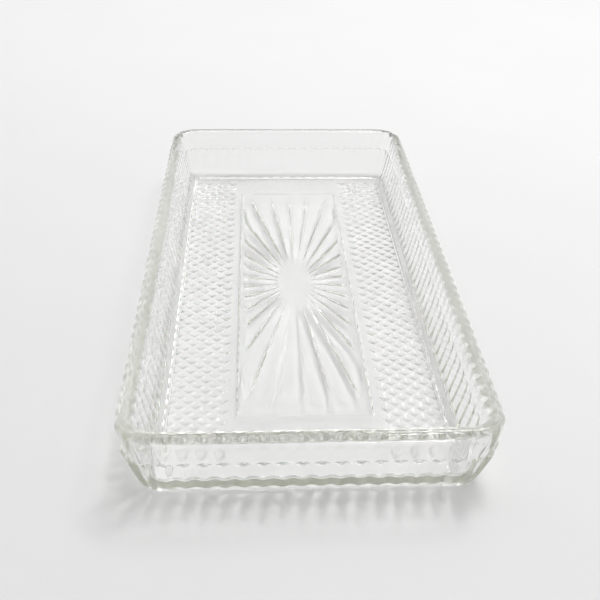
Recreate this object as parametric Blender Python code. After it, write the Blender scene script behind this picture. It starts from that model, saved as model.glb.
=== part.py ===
"""Butter dish in clear pressed glass.

The dish is one pressing: an oblong tray with a rounded, beaded rim, ribbed walls that lean in to a
foot ring, and an underside moulded with a long sunburst panel between two bands of diamond points.
Units are metres, +Z is up, +Y runs along the dish, and the origin is on the table under its middle.
"""

import math

import bmesh
import bpy
from mathutils import Vector
from mathutils.geometry import delaunay_2d_cdt

MM = 0.001

# The tray
LENGTH = 190.0 * MM
WIDTH = 92.0 * MM
HEIGHT = 21.3 * MM
CORNER_RADIUS = 9.5 * MM
SMALLEST_RADIUS = 2.5 * MM
RIM_THICKNESS = 4.1 * MM
RIM_ROUNDING = 1.9 * MM
FLOOR_TOP = 4.3 * MM
INNER_WALL_LEAN = 2.3 * MM
FLOOR_FILLET = 2.9 * MM

# The outer wall leans in more and more towards the table
BASE_INSET = 5.5 * MM
WALL_CURVE = 1.5
PLAIN_BAND_FOOT = 14.4 * MM

# Upright ribs with rounded tops, on all four walls and round the corners
RIBS_PER_LONG_WALL = 38
RIBS_PER_SHORT_WALL = 16
RIBS_PER_CORNER = 3
RIB_HEAD_DEPTH = 0.9 * MM
RIB_FOOT_DEPTH = 0.45 * MM
RIB_TOP = 13.2 * MM
RIB_ARCH = 1.6 * MM
RIB_SHOULDER = 1.2 * MM
RIB_FOOT = 1.3 * MM
RIB_FOOT_SHARE = 0.3
RIB_TUCK = 2.6 * MM

# Beads along the rim's outer edge, one over each rib, which fade out along the short walls
BEAD_GROOVE = 0.4 * MM
BEAD_FADE = 4

# The foot ring, and the underside that is set up inside it
FOOT_EDGE = 0.4 * MM
FOOT_INNER_INSET = 8.2 * MM
RECESS_INSET = 9.0 * MM
RECESS_HEIGHT = 1.2 * MM

# A band of diamond points along each side
DIAMOND_WIDTH = 4.6 * MM
DIAMOND_LENGTH = 4.46 * MM
DIAMOND_DEPTH = 0.3 * MM
BAND_INNER_EDGE = 20.1 * MM
HALF_DIAMONDS_ACROSS = 7
DIAMONDS_ALONG = 36

# The bands and the panel are centred a little beyond the middle of the dish
PATTERN_Y = 2.2 * MM

# The panel between the bands, with its sunburst
PANEL_HALF_WIDTH = 18.5 * MM
PANEL_HALF_LENGTH = 68.0 * MM
PANEL_STEP = 0.4 * MM
PANEL_STEP_WIDTH = 0.5 * MM
SUNBURST_MARGIN = 1.3 * MM
SUNBURST_STRETCH = 1.8
PETALS = 30
PETAL_DEPTHS = (0.3 * MM, 0.55 * MM)
PETAL_SHOULDERS = (0.3, 0.85)
PETAL_FORK = 0.93
BLANK_HALF_WIDTH = 5.0 * MM
BLANK_HALF_LENGTH = 11.0 * MM

# Fineness of the facets, and the turn between two of them, in degrees, that stays a crisp edge
RIB_STEPS = 4
BEAD_STEPS = 4
COARSE_STEPS = (19, 8, 6)
RIM_STEPS = 8
FILLET_STEPS = 4
SHARP_ANGLE = 24.0

# A round of the dish is eight stretches: a long wall, a corner, a short wall, a corner, twice over
STRETCHES = 8
HALF_ROUND = 4
SHORT_WALL = 2
SAME_PLACE = 1e-6

GLASS_COLOUR = (0.93, 0.95, 0.91, 1.0)
GLASS_ROUGHNESS = 0.02
GLASS_IOR = 1.5


def clear_scene():
    for old in list(bpy.data.objects):
        bpy.data.objects.remove(old, do_unlink=True)


def glass_material():
    material = bpy.data.materials.new("clear_glass")
    material.use_nodes = True
    shader = material.node_tree.nodes["Principled BSDF"]
    shader.inputs["Base Color"].default_value = GLASS_COLOUR
    shader.inputs["Roughness"].default_value = GLASS_ROUGHNESS
    shader.inputs["IOR"].default_value = GLASS_IOR
    shader.inputs["Transmission Weight"].default_value = 1.0
    return material


# Places round the dish

def stations(long_steps, short_steps, corner_steps):
    """Places round the dish: the whole part numbers the stretch, the rest is how far along it."""
    counts = [long_steps, corner_steps, short_steps, corner_steps] * 2
    return [stretch + step / count for stretch, count in enumerate(counts) for step in range(count)]


def corner_radius(inset):
    return max(CORNER_RADIUS - inset, SMALLEST_RADIUS)


def outline_point(station, inset, radius):
    """A point on the rounded rectangle that lies the given inset inside the dish's widest outline."""
    stretch = int(station)
    fraction = station - stretch
    side, is_corner = divmod(stretch, 2)
    signs = [(1, -1), (1, 1), (-1, 1), (-1, -1)]
    start = signs[side]
    end = signs[(side + 1) % 4]
    along = 1.0 if is_corner else fraction
    turn = math.pi / 2 * (side + (fraction if is_corner else 0.0))
    core_x = WIDTH / 2 - inset - radius
    core_y = LENGTH / 2 - inset - radius
    x = core_x * (start[0] + (end[0] - start[0]) * along) + radius * math.cos(turn)
    y = core_y * (start[1] + (end[1] - start[1]) * along) + radius * math.sin(turn)
    return x, y


def wall_inset(height):
    """How far the outer wall has leaned in at this height."""
    shoulder = HEIGHT - RIM_ROUNDING
    return BASE_INSET * max(1.0 - height / shoulder, 0.0) ** WALL_CURVE


# Rings of vertices, and the strips between them

def plain_ring(bm, inset, height):
    """A smooth ring: a list of (station, vertex)."""
    ring = []
    for station in stations(*COARSE_STEPS):
        x, y = outline_point(station, inset, corner_radius(inset))
        ring.append((station, bm.verts.new((x, y, height))))
    return ring


def beaded_ring(bm, inset, height, depth):
    """A ring round the rim's outer edge, with a groove of the given depth between every two ribs."""
    ring = []
    steps = (RIBS_PER_LONG_WALL, RIBS_PER_SHORT_WALL, RIBS_PER_CORNER)
    for number, station in enumerate(stations(*(BEAD_STEPS * count for count in steps))):
        groove = 0.5 * (1.0 + math.cos(math.tau * number / BEAD_STEPS))
        stretch = int(station)
        if stretch % HALF_ROUND == SHORT_WALL:
            groove *= abs(2.0 * (station - stretch) - 1.0) ** BEAD_FADE
        set_in = inset + depth * groove
        x, y = outline_point(station, set_in, corner_radius(set_in))
        ring.append((station, bm.verts.new((x, y, height))))
    return ring


def rib_depth(height):
    """The ribs stand out further at their heads than at their feet."""
    share = (height - RIB_FOOT) / (RIB_TOP - RIB_FOOT)
    return RIB_FOOT_DEPTH + (RIB_HEAD_DEPTH - RIB_FOOT_DEPTH) * share


def ribbed_ring(bm, height, depth_share, arched):
    """A ring that rides over the ribs. An arched ring follows the ribs' rounded tops down and up."""
    ring = []
    steps = (RIBS_PER_LONG_WALL, RIBS_PER_SHORT_WALL, RIBS_PER_CORNER)
    for number, station in enumerate(stations(*(RIB_STEPS * count for count in steps))):
        across = 2.0 * (number % RIB_STEPS) / RIB_STEPS - 1.0
        swell = 1.0 - across ** 2
        z = height - (RIB_ARCH * (1.0 - swell) if arched else 0.0)
        inset = wall_inset(z) - rib_depth(z) * depth_share * swell
        x, y = outline_point(station, inset, CORNER_RADIUS - inset)
        ring.append((station, bm.verts.new((x, y, z))))
    return ring


def join_rings(bm, first, second):
    """Fill the strip between two rings, whatever their numbers of vertices."""
    first_round = first + [(STRETCHES, first[0][1])]
    second_round = second + [(STRETCHES, second[0][1])]
    a = 0
    b = 0
    while a < len(first) or b < len(second):
        here_a = first_round[a][1]
        here_b = second_round[b][1]
        next_a = first_round[a + 1] if a < len(first) else (math.inf, None)
        next_b = second_round[b + 1] if b < len(second) else (math.inf, None)
        if abs(next_a[0] - next_b[0]) < SAME_PLACE:
            bm.faces.new((here_a, next_a[1], next_b[1], here_b))
            a += 1
            b += 1
        elif next_a[0] < next_b[0]:
            bm.faces.new((here_a, next_a[1], here_b))
            a += 1
        else:
            bm.faces.new((here_a, next_b[1], here_b))
            b += 1


def outer_wall_rings(bm):
    """From the foot ring's flat face up to the rim's widest line."""
    return [
        plain_ring(bm, wall_inset(0.0) + FOOT_EDGE, 0.0),
        plain_ring(bm, wall_inset(FOOT_EDGE), FOOT_EDGE),
        ribbed_ring(bm, RIB_FOOT, RIB_FOOT_SHARE, arched=False),
        ribbed_ring(bm, RIB_TUCK, 1.0, arched=False),
        ribbed_ring(bm, RIB_TOP - RIB_SHOULDER, 1.0, arched=True),
        ribbed_ring(bm, RIB_TOP, 0.0, arched=True),
        plain_ring(bm, wall_inset(PLAIN_BAND_FOOT), PLAIN_BAND_FOOT),
    ]


def rim_rings(bm):
    """Over the rounded rim, from its outer edge to its inner one."""
    rings = []
    for step in range(RIM_STEPS + 1):
        turn = math.pi * step / RIM_STEPS
        inset = RIM_THICKNESS / 2 * (1.0 - math.cos(turn))
        height = HEIGHT - RIM_ROUNDING * (1.0 - math.sin(turn))
        if turn < math.pi / 2:
            rings.append(beaded_ring(bm, inset, height, BEAD_GROOVE * math.cos(turn)))
        else:
            rings.append(plain_ring(bm, inset, height))
    return rings


def fillet_rings(bm):
    """Round the hollow corner where the inner wall runs out into the floor."""
    rings = []
    for step in range(FILLET_STEPS + 1):
        turn = math.pi / 2 * step / FILLET_STEPS
        inset = RIM_THICKNESS + INNER_WALL_LEAN + FLOOR_FILLET * (1.0 - math.cos(turn))
        rings.append(plain_ring(bm, inset, FLOOR_TOP + FLOOR_FILLET * (1.0 - math.sin(turn))))
    return rings


# The moulded underside

class Relief:
    """Points at their heights, and the lines between them that the underside's facets follow."""

    def __init__(self):
        self.numbers = {}
        self.points = []
        self.lines = []

    def point(self, x, y, z):
        place = (round(x / SAME_PLACE), round(y / SAME_PLACE))
        if place not in self.numbers:
            self.numbers[place] = len(self.points)
            self.points.append(Vector((x, y, z)))
        return self.numbers[place]

    def line(self, corners, closed=False):
        numbers = [self.point(*corner) for corner in corners]
        self.lines += zip(numbers, numbers[1:])
        if closed:
            self.lines.append((numbers[-1], numbers[0]))


def add_diamond_band(relief, side):
    """Rows of low four-sided points, set corner to corner, along one side of the underside."""
    rows = 2 * DIAMONDS_ALONG

    def node(column, row):
        on_edge = column in (0, HALF_DIAMONDS_ACROSS) or row in (0, rows)
        is_tip = (column + row) % 2 == 0
        drop = DIAMOND_DEPTH if is_tip and not on_edge else 0.0
        x = side * (BAND_INNER_EDGE + DIAMOND_WIDTH / 2 * column)
        y = PATTERN_Y + DIAMOND_LENGTH / 2 * (row - DIAMONDS_ALONG)
        return x, y, RECESS_HEIGHT - drop

    for column in range(HALF_DIAMONDS_ACROSS + 1):
        relief.line([node(column, row) for row in range(rows + 1)])
    for row in range(rows + 1):
        relief.line([node(column, row) for column in range(HALF_DIAMONDS_ACROSS + 1)])
    for column in range(HALF_DIAMONDS_ACROSS):
        for row in range(rows):
            leans_right = (column + row) % 2 == 1
            start = node(column, row if leans_right else row + 1)
            end = node(column + 1, row + 1 if leans_right else row)
            relief.line([start, end])


def add_panel_outline(relief):
    """The long panel is a shallow step deeper than the rest of the underside."""
    for margin, height in ((0.0, RECESS_HEIGHT), (PANEL_STEP_WIDTH, RECESS_HEIGHT + PANEL_STEP)):
        x = PANEL_HALF_WIDTH - margin
        near = PATTERN_Y - PANEL_HALF_LENGTH + margin
        far = PATTERN_Y + PANEL_HALF_LENGTH - margin
        corners = [(x, near), (x, far), (-x, far), (-x, near)]
        relief.line([(*corner, height) for corner in corners], closed=True)


def add_sunburst(relief):
    """Petals that spread from a blank oval, each with a crest down its middle and a pointed tip."""
    ground = RECESS_HEIGHT + PANEL_STEP
    reach_x = PANEL_HALF_WIDTH - SUNBURST_MARGIN
    reach_y = PANEL_HALF_LENGTH - SUNBURST_MARGIN

    def spoke(half_petal, share, drop):
        turn = math.pi * half_petal / PETALS
        x = math.sin(turn) / SUNBURST_STRETCH
        y = math.cos(turn)
        inner = 1.0 / math.hypot(x / BLANK_HALF_WIDTH, y / BLANK_HALF_LENGTH)
        outer = 1.0 / max(abs(x) / reach_x, abs(y) / reach_y)
        reach = inner + (outer - inner) * share
        return x * reach, PATTERN_Y + y * reach, ground - drop

    for petal in range(PETALS):
        left = 2 * petal
        crest = left + 1
        right = left + 2
        relief.line([spoke(left, 0.0, 0.0), spoke(left, PETAL_FORK, 0.0)])
        relief.line([
            spoke(crest, 0.0, 0.0),
            spoke(crest, PETAL_SHOULDERS[0], PETAL_DEPTHS[0]),
            spoke(crest, PETAL_SHOULDERS[1], PETAL_DEPTHS[1]),
            spoke(crest, 1.0, 0.0),
        ])
        relief.line([spoke(left, 0.0, 0.0), spoke(crest, 0.0, 0.0), spoke(right, 0.0, 0.0)])
        relief.line([
            spoke(left, PETAL_FORK, 0.0),
            spoke(crest, 1.0, 0.0),
            spoke(right, PETAL_FORK, 0.0),
        ])


def fill_underside(bm, edge_ring):
    """Facets for the whole underside inside the given ring, which they share."""
    relief = Relief()
    relief.line([vertex.co.to_tuple() for _, vertex in edge_ring], closed=True)
    add_diamond_band(relief, side=1)
    add_diamond_band(relief, side=-1)
    add_panel_outline(relief)
    add_sunburst(relief)
    places = [point.xy for point in relief.points]
    _, _, facets, sources, _, _ = delaunay_2d_cdt(places, relief.lines, [], 0, SAME_PLACE)
    edge_vertices = [vertex for _, vertex in edge_ring]
    inner_vertices = [bm.verts.new(point) for point in relief.points[len(edge_ring):]]
    vertices = edge_vertices + inner_vertices
    for facet in facets:
        bm.faces.new([vertices[sources[corner][0]] for corner in facet])


def make_dish():
    bm = bmesh.new()
    rings = outer_wall_rings(bm) + rim_rings(bm) + fillet_rings(bm)
    for lower, upper in zip(rings, rings[1:]):
        join_rings(bm, lower, upper)
    bm.faces.new([vertex for _, vertex in rings[-1]])

    foot_inner = plain_ring(bm, FOOT_INNER_INSET, 0.0)
    recess_edge = plain_ring(bm, RECESS_INSET, RECESS_HEIGHT)
    join_rings(bm, rings[0], foot_inner)
    join_rings(bm, foot_inner, recess_edge)
    fill_underside(bm, recess_edge)

    bmesh.ops.recalc_face_normals(bm, faces=bm.faces)
    mesh = bpy.data.meshes.new("dish")
    bm.to_mesh(mesh)
    bm.free()
    mesh.shade_smooth()
    mesh.set_sharp_from_angle(angle=math.radians(SHARP_ANGLE))
    mesh.materials.append(glass_material())
    dish = bpy.data.objects.new("dish", mesh)
    bpy.context.collection.objects.link(dish)
    return dish


clear_scene()
make_dish()
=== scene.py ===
"""Looks of the pressed-glass butter dish: its fine mesh, clear glass, pale floor, soft light, camera.

The dish is one piece of glass with smooth ribs, a beaded, fire-polished rim and a finely moulded
underside. It has the CAD model's overall size, and like it stands on z = 0 with its middle at x = 0
and y = 0. Its long walls run along y.
"""
import math

import bmesh
import bpy
from mathutils import Matrix, Vector
from mathutils.geometry import delaunay_2d_cdt


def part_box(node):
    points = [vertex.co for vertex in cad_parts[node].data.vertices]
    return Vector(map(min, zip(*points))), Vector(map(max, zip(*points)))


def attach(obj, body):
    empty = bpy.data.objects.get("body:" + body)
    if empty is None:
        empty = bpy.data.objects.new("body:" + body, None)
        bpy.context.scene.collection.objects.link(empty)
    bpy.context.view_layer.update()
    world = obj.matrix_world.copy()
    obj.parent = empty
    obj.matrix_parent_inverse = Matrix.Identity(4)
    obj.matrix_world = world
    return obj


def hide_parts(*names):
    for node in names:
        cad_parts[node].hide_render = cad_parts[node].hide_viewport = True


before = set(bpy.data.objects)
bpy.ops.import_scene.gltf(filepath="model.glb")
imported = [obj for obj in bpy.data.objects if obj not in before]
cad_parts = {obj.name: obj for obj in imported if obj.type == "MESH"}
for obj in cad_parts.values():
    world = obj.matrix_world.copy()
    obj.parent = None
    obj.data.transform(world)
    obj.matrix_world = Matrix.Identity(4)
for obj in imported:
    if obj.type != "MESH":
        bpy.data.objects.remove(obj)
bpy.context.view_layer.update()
LOW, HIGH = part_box("dish")

MM = 0.001

# The tray, as the CAD part has it
WIDTH, LENGTH, HEIGHT = HIGH - LOW
CORNER_RADIUS = 9.5 * MM
SMALLEST_RADIUS = 2.5 * MM
RIM_THICKNESS = 4.1 * MM
RIM_ROUNDING = 1.9 * MM
FLOOR_TOP = 4.3 * MM
INNER_WALL_LEAN = 2.3 * MM
FLOOR_FILLET = 2.9 * MM
FLOOR_MARGIN = 0.3 * MM
BASE_INSET = 5.5 * MM
WALL_CURVE = 1.5

# Ribs
RIBS_PER_LONG_WALL = 38
RIBS_PER_SHORT_WALL = 16
RIBS_PER_CORNER = 3
RIB_HEAD_DEPTH = 0.9 * MM
RIB_FOOT_DEPTH = 0.45 * MM
RIB_TOP = 13.2 * MM
RIB_ARCH = 1.6 * MM
RIB_FOOT = 0.9 * MM
RIB_DOME_SHARE = 0.14
RIB_TUCK_SHARE = 0.08

# A rib's cross-section is a blend of a parabola and a wave: the shares of each
RIB_PARABOLA = 0.2
RIB_WAVE = 0.8

# Rings in the plain band between the ribs and the rim. Each one has a share of the band's height
# and a share of the depth of the grooves between the beads
PLAIN_BAND = ((0.1, 0.0), (0.4, 0.3), (0.7, 0.8))

# Beads along the rim's outer edge, one over each rib, which fade out along the short walls
BEAD_GROOVE = 0.4 * MM
BEAD_FADE = 4

# Foot ring and recess
FOOT_EDGE = 0.4 * MM
FOOT_EDGE_TURN = 0.3
FOOT_INNER_INSET = 8.2 * MM
RECESS_INSET = 9.0 * MM
RECESS_HEIGHT = 1.2 * MM

# Diamond bands
DIAMOND_WIDTH = 4.6 * MM
DIAMOND_LENGTH = 4.46 * MM
DIAMOND_DEPTH = 0.34 * MM
DIAMOND_SOFTNESS = 0.15
DIAMOND_LEDGE = 0.15 * MM
BAND_INNER_EDGE = 20.1 * MM
HALF_DIAMONDS_ACROSS = 7
DIAMONDS_ALONG = 36

# The bands and the panel are centred a little beyond the middle of the dish
PATTERN_Y = 2.2 * MM

# Panel and sunburst
PANEL_HALF_WIDTH = 18.5 * MM
PANEL_HALF_LENGTH = 68.0 * MM
PANEL_STEP = 0.4 * MM
PANEL_STEP_WIDTH = 0.5 * MM
SUNBURST_MARGIN = 1.3 * MM
SUNBURST_STRETCH = 1.8
PETALS = 30
BLANK_HALF_WIDTH = 5.0 * MM
BLANK_HALF_LENGTH = 11.0 * MM

# A petal's depth is a share of its width. It is reached after the first stretch of the petal's
# length, and the lines between the petals end a little before the petals' rounded ends
PETAL_FLARE = 0.09
PETAL_RISE = 0.15
PETAL_FORK = 0.93
PETAL_CREST_POWER = 2.6
PETAL_END_POWER = 8

# Fineness of the mesh. A plain ring has so many steps along a long wall, a short wall and a corner
PLAIN_STEPS = (76, 32, 12)
RIB_STEPS = 8
BEAD_STEPS = 8
RIB_RINGS = 14
RIM_STEPS = 16
FILLET_STEPS = 8
DIAMOND_STEPS = 4
PETAL_STEPS_ACROSS = 12
PETAL_STEPS_ALONG = 16
SHARP_ANGLE = 28.0

# A round of the dish is eight stretches: a long wall, a corner, a short wall, a corner, twice over
STRETCHES = 8
HALF_ROUND = 4
SHORT_WALL = 2

# Points closer than this are one vertex
SAME_PLACE = 1e-6

# Glass
GLASS_IOR = 1.51
NOISE_SPAN = (0.3, 0.7)
SMUDGE_SCALE = 70.0
SMUDGE_DETAIL = 3.0
SMUDGE_ROUGHNESS = (0.03, 0.09)
RIPPLE_SCALE = 55.0
RIPPLE_DETAIL = 1.0
RIPPLE_HEIGHT = 0.07 * MM
ABSORPTION_COLOUR = (0.63, 0.64, 0.56, 1.0)
ABSORPTION_DENSITY = 13.5

# Table
TABLE_SIZE = 4.0
TABLE_GAP = 0.03 * MM
TABLE_ROUGHNESS = 0.6
TABLE_SPECULAR = 0.2
# Painted shade on the table: its colour darkens towards the front left, away from the window lamp. The
# direction of that painted shade, and its stops
TABLE_PAINTED_SHADE_DIRECTION = Vector((0.45, 1.0, 0.0))
TABLE_PAINTED_SHADE = (-0.25, 0.3, 0.78, 0.92)
TABLE_MOTTLE_SCALE = 14.0
TABLE_MOTTLE_DETAIL = 4.0
TABLE_MOTTLE = 0.008

# Light
BRIGHT_SIDE = Vector((0.2, 0.5, 0.85))
ROOM_STOPS = (-0.6, 1.0, 0.55, 1.04)
DARK_SIDE = Vector((-0.1, -0.9, 0.4))
DARK_STOPS = (0.1, 0.9, 1.0, 0.15)
LIGHT_BOUNCES = 48
TABLE_BOUNCES = 8

# Softboxes: place, target, size, and power in watts
WINDOW = ((0.42, 0.5, 1.3), (0.0, 0.1, 0.0), (0.5, 0.45), 6.2)
SMALL_WINDOW = ((0.25, -0.35, 1.1), (0.0, 0.0, 0.0), (0.15, 0.15), 1.2)

# Camera
CAMERA_PLACE = Vector((-12.42, -241.4, 151.1)) * MM
CAMERA_YAW = 3.35
CAMERA_PITCH = 32.39
CAMERA_ROLL = 1.27
CAMERA_LENS = 51.6
CAMERA_NEAR = 0.01
SENSOR = 36.0


# Places round the dish

def stations(long_steps, short_steps, corner_steps):
    """Places round the dish: the whole part numbers the stretch, the rest is how far along it."""
    counts = [long_steps, corner_steps, short_steps, corner_steps] * 2
    return [stretch + step / count for stretch, count in enumerate(counts) for step in range(count)]


def corner_radius(inset):
    return max(CORNER_RADIUS - inset, SMALLEST_RADIUS)


def outline_point(station, inset, radius):
    """A point on the rounded rectangle that lies the given inset inside the dish's widest outline."""
    stretch = int(station)
    fraction = station - stretch
    side, is_corner = divmod(stretch, 2)
    signs = [(1, -1), (1, 1), (-1, 1), (-1, -1)]
    start = signs[side]
    end = signs[(side + 1) % 4]
    along = 1.0 if is_corner else fraction
    turn = math.pi / 2 * (side + (fraction if is_corner else 0.0))
    core_x = WIDTH / 2 - inset - radius
    core_y = LENGTH / 2 - inset - radius
    x = core_x * (start[0] + (end[0] - start[0]) * along) + radius * math.cos(turn)
    y = core_y * (start[1] + (end[1] - start[1]) * along) + radius * math.sin(turn)
    return x, y


def wall_inset(height):
    """How far the outer wall has leaned in at this height."""
    shoulder = HEIGHT - RIM_ROUNDING
    return BASE_INSET * max(1.0 - height / shoulder, 0.0) ** WALL_CURVE


# Rings of vertices, and the strips between them

def plain_ring(bm, inset, height):
    """A smooth ring: a list of (station, vertex)."""
    ring = []
    for station in stations(*PLAIN_STEPS):
        x, y = outline_point(station, inset, corner_radius(inset))
        ring.append((station, bm.verts.new((x, y, height))))
    return ring


def beaded_ring(bm, inset, height, depth):
    """A ring with a groove between every two ribs. The grooves fade out along the short walls."""
    ring = []
    counts = (RIBS_PER_LONG_WALL, RIBS_PER_SHORT_WALL, RIBS_PER_CORNER)
    for number, station in enumerate(stations(*(BEAD_STEPS * count for count in counts))):
        groove = 0.5 * (1.0 + math.cos(math.tau * number / BEAD_STEPS))
        stretch = int(station)
        if stretch % HALF_ROUND == SHORT_WALL:
            groove *= abs(2.0 * (station - stretch) - 1.0) ** BEAD_FADE
        set_in = inset + depth * groove
        x, y = outline_point(station, set_in, corner_radius(set_in))
        ring.append((station, bm.verts.new((x, y, height))))
    return ring


def rib_swell(share):
    """How much of its depth a rib has at a share of its height: domed above, tucked in below."""
    if share > 1.0 - RIB_DOME_SHARE:
        along = (share - 1.0 + RIB_DOME_SHARE) / RIB_DOME_SHARE
        return math.sqrt(max(1.0 - along ** 2, 0.0))
    if share < RIB_TUCK_SHARE:
        along = 1.0 - share / RIB_TUCK_SHARE
        return math.sqrt(max(1.0 - along ** 2, 0.0))
    return 1.0


def ribbed_ring(bm, share):
    """A ring that rides over the ribs, at a share of the height between their feet and rounded tops."""
    ring = []
    counts = (RIBS_PER_LONG_WALL, RIBS_PER_SHORT_WALL, RIBS_PER_CORNER)
    for number, station in enumerate(stations(*(RIB_STEPS * count for count in counts))):
        across = 2.0 * (number % RIB_STEPS) / RIB_STEPS - 1.0
        top = RIB_TOP - RIB_ARCH * (1.0 - math.sqrt(1.0 - across ** 2))
        z = RIB_FOOT + (top - RIB_FOOT) * share
        depth = RIB_FOOT_DEPTH + (RIB_HEAD_DEPTH - RIB_FOOT_DEPTH) * share
        wave = 1.0 + math.cos(math.pi * across)
        crest = RIB_PARABOLA * (1.0 - across ** 2) + RIB_WAVE / 2 * wave
        inset = wall_inset(z) - depth * crest * rib_swell(share)
        x, y = outline_point(station, inset, CORNER_RADIUS - inset)
        ring.append((station, bm.verts.new((x, y, z))))
    return ring


def rib_shares():
    """Shares of the ribs' height, closer together in the dome and the tuck."""
    shares = []
    for step in range(RIB_RINGS + 1):
        turn = math.pi * step / RIB_RINGS
        shares.append(0.5 * (1.0 - math.cos(turn)))
    return shares


def join_rings(bm, first, second):
    """Fill the strip between two rings, whatever their numbers of vertices."""
    first_round = first + [(STRETCHES, first[0][1])]
    second_round = second + [(STRETCHES, second[0][1])]
    a = 0
    b = 0
    while a < len(first) or b < len(second):
        here_a = first_round[a][1]
        here_b = second_round[b][1]
        next_a = first_round[a + 1] if a < len(first) else (math.inf, None)
        next_b = second_round[b + 1] if b < len(second) else (math.inf, None)
        if abs(next_a[0] - next_b[0]) < SAME_PLACE:
            bm.faces.new((here_a, next_a[1], next_b[1], here_b))
            a += 1
            b += 1
        elif next_a[0] < next_b[0]:
            bm.faces.new((here_a, next_a[1], here_b))
            a += 1
        else:
            bm.faces.new((here_a, next_b[1], here_b))
            b += 1


def outer_wall_rings(bm):
    """From the foot ring's flat face up to the rim's widest line."""
    rings = [
        plain_ring(bm, wall_inset(0.0) + FOOT_EDGE, 0.0),
        plain_ring(bm, wall_inset(0.0) + FOOT_EDGE_TURN * FOOT_EDGE, FOOT_EDGE_TURN * FOOT_EDGE),
        plain_ring(bm, wall_inset(FOOT_EDGE), FOOT_EDGE),
    ]
    rings += [ribbed_ring(bm, share) for share in rib_shares()]
    rim_foot = HEIGHT - RIM_ROUNDING
    for share, bead_share in PLAIN_BAND:
        height = RIB_TOP + (rim_foot - RIB_TOP) * share
        rings.append(beaded_ring(bm, wall_inset(height), height, BEAD_GROOVE * bead_share))
    return rings


def rim_rings(bm):
    """Over the fire-polished rim, from its outer edge to its inner one."""
    rings = []
    for step in range(RIM_STEPS + 1):
        turn = math.pi * step / RIM_STEPS
        inset = RIM_THICKNESS / 2 * (1.0 - math.cos(turn))
        height = HEIGHT - RIM_ROUNDING * (1.0 - math.sin(turn))
        if turn < math.pi / 2:
            rings.append(beaded_ring(bm, inset, height, BEAD_GROOVE * math.cos(turn)))
        else:
            rings.append(plain_ring(bm, inset, height))
    return rings


def fillet_rings(bm):
    """Round the hollow corner where the inner wall runs out into the floor."""
    rings = []
    for step in range(FILLET_STEPS + 1):
        turn = math.pi / 2 * step / FILLET_STEPS
        inset = RIM_THICKNESS + INNER_WALL_LEAN + FLOOR_FILLET * (1.0 - math.cos(turn))
        rings.append(plain_ring(bm, inset, FLOOR_TOP + FLOOR_FILLET * (1.0 - math.sin(turn))))
    return rings


# The moulded underside

class Underside:
    """The underside's vertices, each made once, and the outlines that its plain ground lies between."""

    def __init__(self, bm):
        self.bm = bm
        self.vertices = {}
        self.outlines = []

    def vertex(self, x, y, z):
        place = (round(x / SAME_PLACE), round(y / SAME_PLACE))
        if place not in self.vertices:
            self.vertices[place] = self.bm.verts.new((x, y, z))
        return self.vertices[place]

    def adopt(self, vertex):
        x, y, _ = vertex.co
        self.vertices[(round(x / SAME_PLACE), round(y / SAME_PLACE))] = vertex
        return vertex

    def facet(self, *corners):
        self.bm.faces.new([self.vertex(*corner) for corner in corners])

    def outline(self, loop, is_patch):
        """A closed line of vertices. The ground isn't laid inside a patch, which has its own facets."""
        places = [vertex.co.xy for vertex in loop]
        turning = sum(here.cross(there) for here, there in zip(places, places[1:] + places[:1]))
        self.outlines.append((loop if turning > 0.0 else loop[::-1], is_patch))

    def lay_ground(self):
        """Plain facets everywhere between the outlines."""
        flat = []
        vertices = []
        loops = []
        for loop, _ in self.outlines:
            loops.append(list(range(len(flat), len(flat) + len(loop))))
            flat += [vertex.co.xy for vertex in loop]
            vertices += loop
        _, _, facets, sources, _, inside = delaunay_2d_cdt(flat, [], loops, 0, SAME_PLACE)
        patches = {number for number, (_, is_patch) in enumerate(self.outlines) if is_patch}
        for facet, holders in zip(facets, inside):
            if not patches.intersection(holders):
                self.bm.faces.new([vertices[sources[corner][0]] for corner in facet])


def soft_abs(value):
    """The distance from 0, slightly rounded near 0."""
    return math.sqrt(value ** 2 + DIAMOND_SOFTNESS ** 2) - DIAMOND_SOFTNESS


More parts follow.
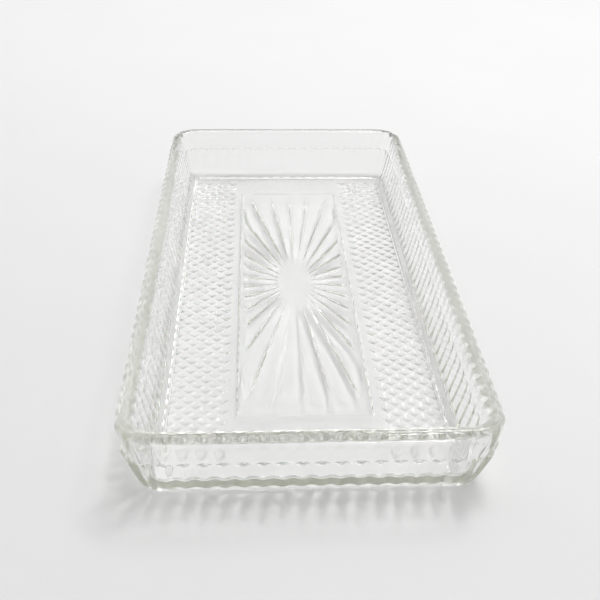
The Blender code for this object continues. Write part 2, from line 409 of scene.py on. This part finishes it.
def add_diamond_band(underside, side):
    """Rows of low four-sided points, set corner to corner, along one side of the underside."""
    columns = HALF_DIAMONDS_ACROSS * DIAMOND_STEPS
    rows = 2 * DIAMONDS_ALONG * DIAMOND_STEPS

    def node(column, row):
        half_x = column / DIAMOND_STEPS
        half_y = row / DIAMOND_STEPS
        x = side * (BAND_INNER_EDGE + DIAMOND_WIDTH / 2 * half_x)
        y = PATTERN_Y + DIAMOND_LENGTH / 2 * (half_y - DIAMONDS_ALONG)
        tip_x = round(half_x)
        tip_y = round(half_y)
        if (tip_x + tip_y) % 2:
            beside = 1 if half_x >= tip_x else -1
            over = 1 if half_y >= tip_y else -1
            near_x = abs(half_x - tip_x)
            near_y = abs(half_y - tip_y)
            tip_x += beside if near_x > near_y else 0
            tip_y += over if near_x <= near_y else 0
        on_edge = tip_x == 0 or tip_y in (0, 2 * DIAMONDS_ALONG)
        outside = not (0 <= tip_x <= HALF_DIAMONDS_ACROSS and 0 <= tip_y <= 2 * DIAMONDS_ALONG)
        away = soft_abs(half_x - tip_x) + soft_abs(half_y - tip_y)
        drop = 0.0 if on_edge or outside else DIAMOND_DEPTH * max(1.0 - away, 0.0)
        if column > columns:
            x += side * (DIAMOND_LEDGE - DIAMOND_WIDTH / 2 / DIAMOND_STEPS)
            drop = 0.0
        return x, y, RECESS_HEIGHT - drop

    for column in range(columns + 1):
        for row in range(rows):
            corners = [
                node(column, row),
                node(column + 1, row),
                node(column + 1, row + 1),
                node(column, row + 1),
            ]
            if (column // DIAMOND_STEPS + row // DIAMOND_STEPS) % 2 == 0:
                corners = corners[1:] + corners[:1]
            underside.facet(corners[0], corners[1], corners[2])
            underside.facet(corners[0], corners[2], corners[3])
    last = columns + 1
    border = [node(column, 0) for column in range(last)]
    border += [node(last, row) for row in range(rows)]
    border += [node(last - column, rows) for column in range(last)]
    border += [node(0, rows - row) for row in range(rows)]
    underside.outline([underside.vertex(*place) for place in border], is_patch=True)


def add_panel_outline(underside):
    """The long panel is a shallow step deeper than the rest of the underside."""
    for margin, height in ((0.0, RECESS_HEIGHT), (PANEL_STEP_WIDTH, RECESS_HEIGHT + PANEL_STEP)):
        x = PANEL_HALF_WIDTH - margin
        y = PANEL_HALF_LENGTH - margin
        corners = [(x, -y), (x, y), (-x, y), (-x, -y)]
        loop = [underside.vertex(x, PATTERN_Y + y, height) for x, y in corners]
        underside.outline(loop, is_patch=False)


def add_sunburst(underside):
    """Rounded petals that spread from a blank oval to rounded ends near the panel's edge."""
    ground = RECESS_HEIGHT + PANEL_STEP
    reach_x = PANEL_HALF_WIDTH - SUNBURST_MARGIN
    reach_y = PANEL_HALF_LENGTH - SUNBURST_MARGIN
    spokes = PETALS * PETAL_STEPS_ACROSS

    def node(spoke, step):
        turn = math.tau * spoke / spokes
        across = 2.0 * (spoke % PETAL_STEPS_ACROSS) / PETAL_STEPS_ACROSS - 1.0
        x = math.sin(turn) / SUNBURST_STRETCH
        y = math.cos(turn)
        inner = 1.0 / math.hypot(x / BLANK_HALF_WIDTH, y / BLANK_HALF_LENGTH)
        outer = 1.0 / max(abs(x) / reach_x, abs(y) / reach_y)
        end = PETAL_FORK + (1.0 - PETAL_FORK) * math.sqrt(1.0 - across ** 2)
        along = step / PETAL_STEPS_ALONG
        reach = inner + (outer - inner) * (end * along)
        swell = (1.0 - abs(across) ** PETAL_CREST_POWER) * math.sqrt(1.0 - along ** PETAL_END_POWER)
        swell *= min(1.0, along / PETAL_RISE)
        width = reach * math.hypot(y / SUNBURST_STRETCH, x * SUNBURST_STRETCH) * math.tau / PETALS
        return x * reach, PATTERN_Y + y * reach, ground - PETAL_FLARE * width * swell

    for spoke in range(spokes):
        for step in range(PETAL_STEPS_ALONG):
            underside.facet(
                node(spoke, step),
                node(spoke + 1, step),
                node(spoke + 1, step + 1),
                node(spoke, step + 1),
            )
    blank = [underside.vertex(*node(spoke, 0)) for spoke in range(spokes)]
    underside.bm.faces.new(blank)
    ends = [underside.vertex(*node(spoke, PETAL_STEPS_ALONG)) for spoke in range(spokes)]
    underside.outline(ends, is_patch=True)


def make_underside(bm, edge_ring):
    underside = Underside(bm)
    underside.outline([underside.adopt(vertex) for _, vertex in edge_ring], is_patch=False)
    add_diamond_band(underside, side=1)
    add_diamond_band(underside, side=-1)
    add_panel_outline(underside)
    add_sunburst(underside)
    underside.lay_ground()


def make_dish(material):
    bm = bmesh.new()
    rings = outer_wall_rings(bm) + rim_rings(bm) + fillet_rings(bm)
    for lower, upper in zip(rings, rings[1:]):
        join_rings(bm, lower, upper)
    floor_edge = RIM_THICKNESS + INNER_WALL_LEAN + FLOOR_FILLET + FLOOR_MARGIN
    floor_ring = plain_ring(bm, floor_edge, FLOOR_TOP)
    join_rings(bm, rings[-1], floor_ring)
    bm.faces.new([vertex for _, vertex in floor_ring])
    foot_inner = plain_ring(bm, FOOT_INNER_INSET, 0.0)
    recess_edge = plain_ring(bm, RECESS_INSET, RECESS_HEIGHT)
    join_rings(bm, rings[0], foot_inner)
    join_rings(bm, foot_inner, recess_edge)
    make_underside(bm, recess_edge)
    bmesh.ops.recalc_face_normals(bm, faces=bm.faces)
    mesh = bpy.data.meshes.new("glass_dish")
    bm.to_mesh(mesh)
    bm.free()
    mesh.shade_smooth()
    mesh.set_sharp_from_angle(angle=math.radians(SHARP_ANGLE))
    mesh.materials.append(material)
    dish = bpy.data.objects.new("glass_dish", mesh)
    bpy.context.collection.objects.link(dish)
    return dish


# Materials

def set_stops(map_range, stops):
    """The range that comes in and the range that it is turned into: four numbers."""
    for socket, value in zip(("From Min", "From Max", "To Min", "To Max"), stops):
        map_range.inputs[socket].default_value = value


def add_noise(nodes, links, scale, detail, low, high):
    """Soft patches over an object, scaled to lie between two values."""
    place = nodes.new("ShaderNodeTexCoord")
    noise = nodes.new("ShaderNodeTexNoise")
    noise.inputs["Scale"].default_value = scale
    noise.inputs["Detail"].default_value = detail
    levels = nodes.new("ShaderNodeMapRange")
    set_stops(levels, (*NOISE_SPAN, low, high))
    links.new(place.outputs["Object"], noise.inputs["Vector"])
    links.new(noise.outputs[0], levels.inputs["Value"])
    return levels.outputs["Result"]


def glass_material():
    """Clear glass, faintly grey where it is thick, with the slow ripples of fire polishing."""
    material = bpy.data.materials.new("clear_glass")
    material.use_nodes = True
    nodes = material.node_tree.nodes
    links = material.node_tree.links
    shader = nodes["Principled BSDF"]
    shader.inputs["Base Color"].default_value = (1.0, 1.0, 1.0, 1.0)
    shader.inputs["IOR"].default_value = GLASS_IOR
    shader.inputs["Transmission Weight"].default_value = 1.0
    smudges = add_noise(nodes, links, SMUDGE_SCALE, SMUDGE_DETAIL, *SMUDGE_ROUGHNESS)
    links.new(smudges, shader.inputs["Roughness"])
    bump = nodes.new("ShaderNodeBump")
    bump.inputs["Distance"].default_value = RIPPLE_HEIGHT
    ripples = add_noise(nodes, links, RIPPLE_SCALE, RIPPLE_DETAIL, 0.0, 1.0)
    links.new(ripples, bump.inputs["Height"])
    links.new(bump.outputs["Normal"], shader.inputs["Normal"])
    absorption = nodes.new("ShaderNodeVolumeAbsorption")
    absorption.inputs["Color"].default_value = ABSORPTION_COLOUR
    absorption.inputs["Density"].default_value = ABSORPTION_DENSITY
    links.new(absorption.outputs["Volume"], nodes["Material Output"].inputs["Volume"])
    return material


def floor_material():
    """White table top with painted shade: its colour is a shade darker towards the front left, away
    from the window lamp.
    """
    material = bpy.data.materials.new("white_table")
    material.use_nodes = True
    nodes = material.node_tree.nodes
    links = material.node_tree.links
    shader = nodes["Principled BSDF"]
    shader.inputs["Roughness"].default_value = TABLE_ROUGHNESS
    shader.inputs["Specular IOR Level"].default_value = TABLE_SPECULAR
    place = nodes.new("ShaderNodeTexCoord")
    along = nodes.new("ShaderNodeVectorMath")
    along.operation = "DOT_PRODUCT"
    along.inputs[1].default_value = TABLE_PAINTED_SHADE_DIRECTION.normalized()
    # Painted shade: the table's colour falls off towards the front left
    painted_shade = nodes.new("ShaderNodeMapRange")
    painted_shade.interpolation_type = "SMOOTHSTEP"
    set_stops(painted_shade, TABLE_PAINTED_SHADE)
    patches = add_noise(
        nodes, links, TABLE_MOTTLE_SCALE, TABLE_MOTTLE_DETAIL, -TABLE_MOTTLE, TABLE_MOTTLE
    )
    # The painted shade plus the table's random mottling make its colour
    painted_shade_and_mottle = nodes.new("ShaderNodeMath")
    painted_shade_and_mottle.operation = "ADD"
    links.new(place.outputs["Object"], along.inputs[0])
    links.new(along.outputs["Value"], painted_shade.inputs["Value"])
    links.new(painted_shade.outputs["Result"], painted_shade_and_mottle.inputs[0])
    links.new(patches, painted_shade_and_mottle.inputs[1])
    links.new(painted_shade_and_mottle.outputs["Value"], shader.inputs["Base Color"])
    return material


# Stage

def make_floor():
    bpy.ops.mesh.primitive_plane_add(size=TABLE_SIZE, location=(0.0, 0.0, LOW.z - TABLE_GAP))
    floor = bpy.context.object
    floor.name = "white_table"
    floor.data.materials.append(floor_material())


def make_world():
    """A soft room, brightest high up behind the dish and darker on the camera's side."""
    world = bpy.data.worlds.new("soft_room")
    bpy.context.scene.world = world
    world.use_nodes = True
    nodes = world.node_tree.nodes
    links = world.node_tree.links
    background = nodes["Background"]
    background.inputs["Color"].default_value = (1.0, 1.0, 1.0, 1.0)
    place = nodes.new("ShaderNodeTexCoord")
    shades = []
    for direction, stops in ((BRIGHT_SIDE, ROOM_STOPS), (DARK_SIDE, DARK_STOPS)):
        facing = nodes.new("ShaderNodeVectorMath")
        facing.operation = "DOT_PRODUCT"
        facing.inputs[1].default_value = direction.normalized()
        ramp = nodes.new("ShaderNodeMapRange")
        ramp.interpolation_type = "SMOOTHSTEP"
        set_stops(ramp, stops)
        links.new(place.outputs["Generated"], facing.inputs[0])
        links.new(facing.outputs["Value"], ramp.inputs["Value"])
        shades.append(ramp.outputs["Result"])
    both = nodes.new("ShaderNodeMath")
    both.operation = "MULTIPLY"
    links.new(shades[0], both.inputs[0])
    links.new(shades[1], both.inputs[1])
    links.new(both.outputs["Value"], background.inputs["Strength"])


def add_softbox(name, place, target, size, power):
    light = bpy.data.lights.new(name, "AREA")
    light.shape = "RECTANGLE"
    light.size, light.size_y = size
    light.energy = power
    lamp = bpy.data.objects.new(name, light)
    lamp.location = place
    lamp.rotation_euler = (Vector(target) - Vector(place)).to_track_quat("-Z", "Y").to_euler()
    bpy.context.collection.objects.link(lamp)


def make_camera():
    camera = bpy.data.cameras.new("camera")
    camera.lens = CAMERA_LENS
    camera.sensor_width = SENSOR
    camera.clip_start = CAMERA_NEAR
    holder = bpy.data.objects.new("camera", camera)
    turn = (
        Matrix.Rotation(math.radians(-CAMERA_YAW), 4, "Z")
        @ Matrix.Rotation(math.radians(90.0 - CAMERA_PITCH), 4, "X")
        @ Matrix.Rotation(math.radians(CAMERA_ROLL), 4, "Z")
    )
    holder.matrix_world = Matrix.Translation(CAMERA_PLACE) @ turn
    bpy.context.collection.objects.link(holder)
    bpy.context.scene.camera = holder


def set_colours_and_light_paths():
    """Light goes to and fro many times inside glass, and what is cut short would show as black."""
    scene = bpy.context.scene
    scene.view_settings.view_transform = "Standard"
    scene.cycles.use_denoising = True
    scene.cycles.max_bounces = LIGHT_BOUNCES
    scene.cycles.transmission_bounces = LIGHT_BOUNCES
    scene.cycles.glossy_bounces = LIGHT_BOUNCES
    scene.cycles.diffuse_bounces = TABLE_BOUNCES
    scene.cycles.blur_glossy = 0.0


dish = make_dish(glass_material())
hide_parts("dish")
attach(dish, "root")

make_floor()
make_world()
add_softbox("window", *WINDOW)
add_softbox("small_window", *SMALL_WINDOW)
make_camera()
set_colours_and_light_paths()
